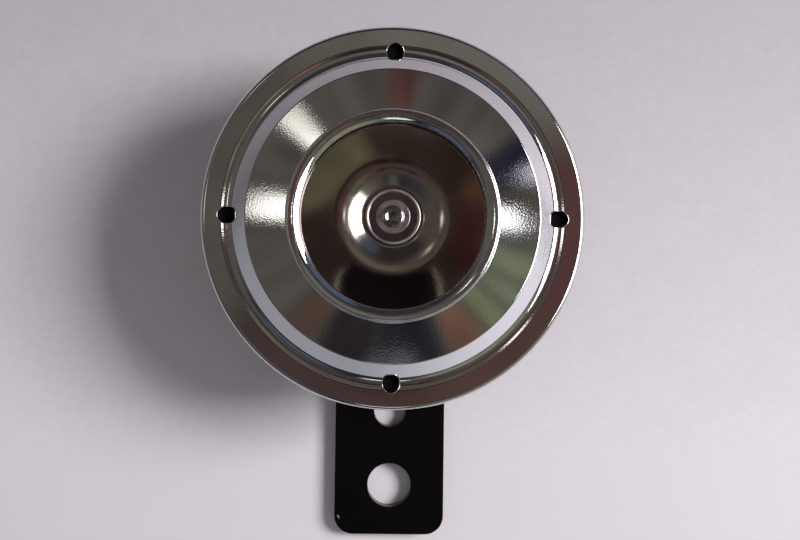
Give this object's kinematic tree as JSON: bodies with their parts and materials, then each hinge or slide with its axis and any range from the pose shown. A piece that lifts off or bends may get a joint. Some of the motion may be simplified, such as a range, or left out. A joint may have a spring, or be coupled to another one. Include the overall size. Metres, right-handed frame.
{
  "type": "disc horn",
  "caption": "Round electric horn with a chromed front cover, a recessed tone disc, a stepped back housing and a joggled mounting bracket.",
  "frame": {"origin": "centre of the bracket's large hole, on the face that seats on the vehicle", "axes": "+Z along the horn's axis towards the tone disc, +Y from the bracket's end to the horn, +X to the right seen from the front"},
  "size_m": [0.07, 0.0987, 0.0321],
  "materials": {
    "cover_chrome": "polished chrome plate on pressed steel",
    "disc_steel": "plated steel, faintly turned",
    "washer_steel": "plated steel",
    "soft_iron": "turned and plated iron",
    "spring_steel": "rolled spring steel",
    "gasket_rubber": "matt black",
    "housing_paint": "black stove enamel",
    "bracket_paint": "glossy black paint",
    "bobbin_plastic": "moulded black plastic",
    "winding_copper": "enamelled copper",
    "insulator_laminate": "brown paper laminate",
    "contact_silver": "contact metal",
    "rivet_metal": "plated brass rivets",
    "terminal_brass": "tinned brass",
    "zinc_steel": "bright zinc plate"
  },
  "bodies": {
    "horn": {"front_cover": "cover_chrome", "diaphragm": "spring_steel", "front_gasket": "gasket_rubber", "rear_gasket": "gasket_rubber", "housing": "housing_paint", "core_stud": "soft_iron", "bobbin": "bobbin_plastic", "coil_winding": "winding_copper", "coil_retainer": "spring_steel", "lower_insulator": "insulator_laminate", "middle_insulator": "insulator_laminate", "upper_insulator": "insulator_laminate", "contact_support": "zinc_steel", "contact_arm": "spring_steel", "fixed_contact": "contact_silver", "moving_contact": "contact_silver", "contact_rivets": "rivet_metal", "adjuster_bush": "zinc_steel", "adjuster_locknut": "zinc_steel", "terminal_board": "insulator_laminate", "terminal_inner_plate": "insulator_laminate", "terminal_left": "terminal_brass", "terminal_right": "terminal_brass", "terminal_rivets": "rivet_metal", "lead_coil_terminal": "winding_copper", "lead_coil_contact": "winding_copper", "lead_contact_terminal": "winding_copper", "mounting_bracket": "bracket_paint", "spring_washer": "zinc_steel", "bracket_nut": "zinc_steel"},
    "vibrating_assembly": {"armature": "soft_iron", "spacer_collar": "washer_steel", "tone_disc": "disc_steel", "tone_disc_washer": "washer_steel"},
    "adjuster": {"adjusting_screw": "zinc_steel"}
  },
  "joints": [
    {"name": "armature_travel", "type": "slide", "parent": "horn", "child": "vibrating_assembly", "axis": [0, 0, 1], "range_m": [-0.0005, 0.0003], "stiffness_N_per_m": 40000, "deforming": ["diaphragm", "contact_arm"]},
    {"name": "adjuster_turn", "type": "hinge", "parent": "horn", "child": "adjuster", "pos_m": [0.0216, 0.0431, 0.0165], "axis": [0, 0, 1], "range_deg": [-180, 180]}
  ]
}
